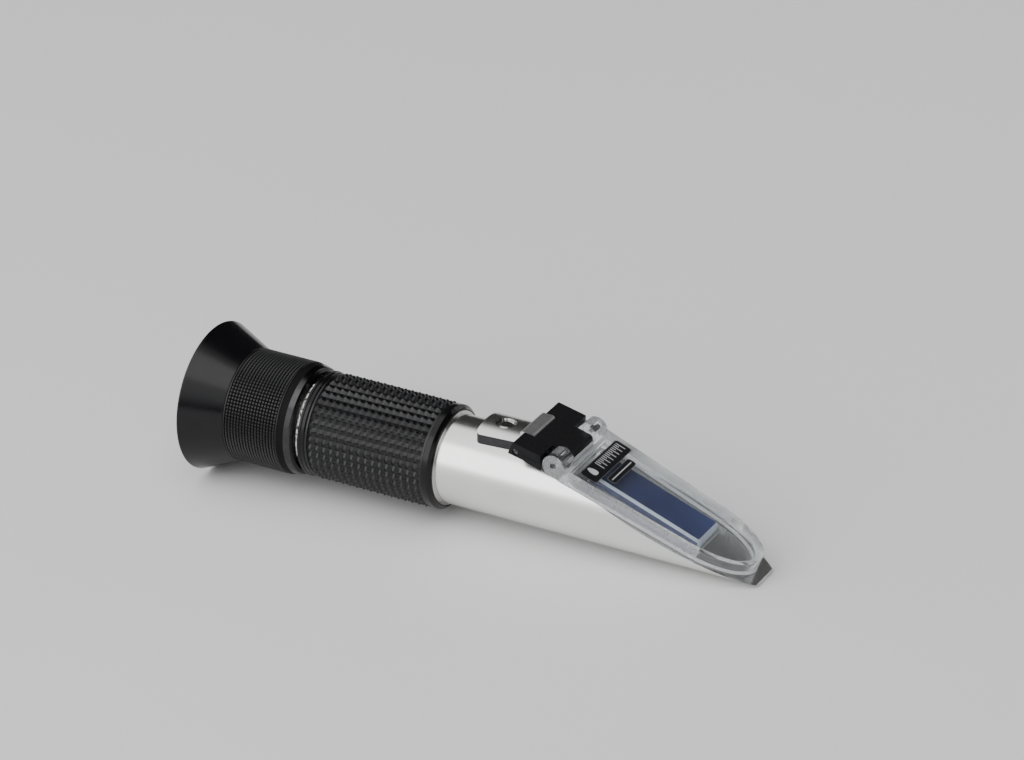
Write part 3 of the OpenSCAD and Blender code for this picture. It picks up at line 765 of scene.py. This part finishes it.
def printed(name, outlines, level, material):
    """Thin ink shapes on top of the plate, as one piece that rides on it."""
    shapes = [extruded(name, outline, level, level + INK, "XY") for outline in outlines]
    for extra in shapes[1:]:
        join = bmesh.new()
        join.from_mesh(shapes[0].data)
        join.from_mesh(extra.data)
        join.to_mesh(shapes[0].data)
        join.free()
        bpy.data.objects.remove(extra)
    obj = moved(shapes[0], Matrix.Scale(MM, 4) @ SEAT)
    obj.data.materials.append(material)
    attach(obj, "daylight_plate")
    return obj


def panel(u0, u1, half, border=0.0):
    """A rectangle in plan, with small round corners, and larger by its border."""
    u0, u1, half = u0 - border, u1 + border, half + border
    return soften([(u0, -half), (u1, -half), (u1, half), (u0, half)], PANEL_CORNER, 6)


def bar(u0, u1, y, width):
    """A short mark across the plate."""
    return [(u0, y - width / 2), (u1, y - width / 2), (u1, y + width / 2), (u0, y + width / 2)]


ticks = [bar(14.75, TICK_ENDS[k % 2], 8.6 - TICK_PITCH * k, TICK_W) for k in range(TICKS)]
drop = [(DROP_AT[0] - 1.5 * math.cos(turn) * (1 + 0.35 * math.cos(turn)),
         DROP_AT[1] + 1.05 * math.sin(turn)) for turn in [2 * math.pi * k / 32 for k in range(32)]]
printed("print_borders", [panel(*SCALE_PANEL, BORDER), panel(*STRIPE_PANEL, BORDER)], BORDER_V,
        grey_ink)
printed("print_panels", [panel(*SCALE_PANEL), panel(*STRIPE_PANEL)], PANEL_V, ink)
printed("print_marks", [*ticks, drop, bar(21.1, 21.4, 0, 10.4)], MARK_V, pale_ink)

# ---- CAD pieces that keep their shape ------------------------------------------------------

KEPT = {"reticle": lens_glass, "reticle_ring": matt, "prism_seal": cement, "light_stop": matt,
        "arm_pivot_pin": steel, "return_spring": bare, "focus_guide_pin": bare,
        "lens_cell": matt, "eye_lens": lens_glass, "eye_lens_ring": matt, "lens_spacer": matt,
        "field_lens": lens_glass, "field_lens_ring": matt, "lens_arm": brass,
        "objective_lens": lens_glass, "objective_ring": matt, "bimetal_strip": bimetal}
for node, material in KEPT.items():
    mesh = NODES[node].data
    mesh.materials.clear()
    mesh.materials.append(material)
    mesh.polygons.foreach_set("use_smooth", [True] * len(mesh.polygons))
    mesh.set_sharp_from_angle(angle=math.radians(30))

# ---- floor, light and camera ---------------------------------------------------------------

# The floor touches the eyecup's rim and the nose, so it leans a little along X
FLOOR_R = 3.0
FLOOR_SIDES = 128
FLOOR_GAP = 0.00004
lean = math.atan2(CUP_R - BODY_R, TOTAL_L)
rim = [(x, y, 0) for x, y in circle((0, 0), FLOOR_R, FLOOR_SIDES)]
floor = solid("floor", rim, [tuple(range(FLOOR_SIDES))])
moved(floor, Matrix.Translation((0, 0, -CUP_R * MM - FLOOR_GAP)) @ Matrix.Rotation(-lean, 4, "Y"))
floor.data.materials.append(procedural("pale_floor", (0.78, 0.78, 0.78), 0.7, spread=0.01,
                                       patches=4.0, grain=900.0, grain_depth=0.01))

# The point that the lights face, near the middle of the object
AIM = Vector((0.09, 0, 0))


def softbox(name, towards, distance, size, power):
    """A square soft light in a direction from the object, turned to face it."""
    lamp = bpy.data.lights.new(name, "AREA")
    lamp.shape, lamp.size, lamp.energy = "SQUARE", size, power
    obj = bpy.data.objects.new(name, lamp)
    obj.location = AIM + Vector(towards).normalized() * distance
    obj.rotation_mode = "QUATERNION"
    obj.rotation_quaternion = (obj.location - AIM).to_track_quat("Z", "Y")
    obj.visible_camera = False
    bpy.context.scene.collection.objects.link(obj)


softbox("key_left", (-0.55, -0.75, 0.55), 1.1, 0.9, 5)
softbox("over_camera", (0.10, -0.42, 0.90), 1.2, 0.9, 3)
softbox("low_right", (0.90, -0.38, 0.22), 1.0, 0.4, 0.6)
softbox("behind", (0.25, 0.92, 0.28), 1.2, 0.6, 1.0)

# The surroundings: a wide soft light over the near side, and dim walls all round
SKY_CENTRE = Vector((-0.45, -0.55, 0.70)).normalized()
SKY_EDGE = (0.42, 0.60)
SKY_DIM = 0.035
SKY_BRIGHT = 1.5
world = bpy.data.worlds.new("studio")
world.use_nodes = True
bpy.context.scene.world = world
sky = world.node_tree
direction = sky.nodes.new("ShaderNodeTexCoord").outputs["Generated"]
facing = sky.nodes.new("ShaderNodeVectorMath")
facing.operation = "DOT_PRODUCT"
facing.inputs[1].default_value = SKY_CENTRE
sky.links.new(direction, facing.inputs[0])
brightness = ranged(sky, facing.outputs["Value"], *SKY_EDGE, SKY_DIM, SKY_BRIGHT)
brightness.node.interpolation_type = "SMOOTHSTEP"
background = sky.nodes["Background"]
background.inputs["Color"].default_value = (1.0, 1.0, 1.0, 1)
sky.links.new(brightness, background.inputs["Strength"])

# The camera: a long lens above and to the right of the object's near side
AZIMUTH = math.radians(28.03)
ELEVATION = math.radians(27.81)
ROLL = math.radians(0.35)
DISTANCE = 1.172
LENS = 161.96
SENSOR = 36.0
CLIP = (0.05, 20.0)
# The point that it looks at: one on the object's axis, moved across and up in the view
AXIS_POINT = Vector((0.080, 0, 0))
ACROSS = 0.00692
UP = 0.02173
back = Vector((math.sin(AZIMUTH) * math.cos(ELEVATION), -math.cos(AZIMUTH) * math.cos(ELEVATION),
               math.sin(ELEVATION)))
level = Vector((math.cos(AZIMUTH), math.sin(AZIMUTH), 0))
upward = back.cross(level)
right = math.cos(ROLL) * level + math.sin(ROLL) * upward
upright = -math.sin(ROLL) * level + math.cos(ROLL) * upward
target = AXIS_POINT + ACROSS * right + UP * upright
turn = Matrix((right, upright, back)).transposed()
camera = bpy.data.objects.new("camera", bpy.data.cameras.new("camera"))
camera.data.lens = LENS
camera.data.sensor_width = SENSOR
camera.data.clip_start, camera.data.clip_end = CLIP
camera.matrix_world = Matrix.Translation(target + DISTANCE * back) @ turn.to_4x4()
bpy.context.scene.collection.objects.link(camera)
bpy.context.scene.camera = camera
